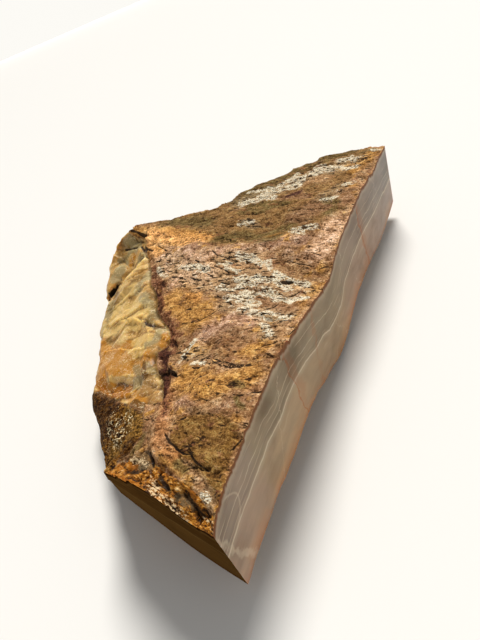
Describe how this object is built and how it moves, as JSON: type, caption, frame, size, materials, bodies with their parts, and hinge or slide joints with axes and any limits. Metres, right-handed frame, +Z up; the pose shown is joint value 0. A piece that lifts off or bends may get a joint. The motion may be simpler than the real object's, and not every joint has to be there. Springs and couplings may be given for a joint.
{
  "type": "rough block of banded onyx",
  "caption": "Wedge-shaped rough block of banded calcite onyx with a weathered rind on top, a broken honey-coloured slope and two upright saw cuts.",
  "frame": {"origin": "bottom centre of the bounding box, on the surface the block rests on", "axes": "+X along the long saw cut from the near corner to the far corner, +Y from that cut into the block, +Z up"},
  "size_m": [0.6594, 0.4542, 0.1383],
  "materials": {
    "onyx": "natural rind, broken crystal faces and dull saw cuts"
  },
  "bodies": {
    "root": {"onyx_block": "onyx"}
  },
  "joints": []
}
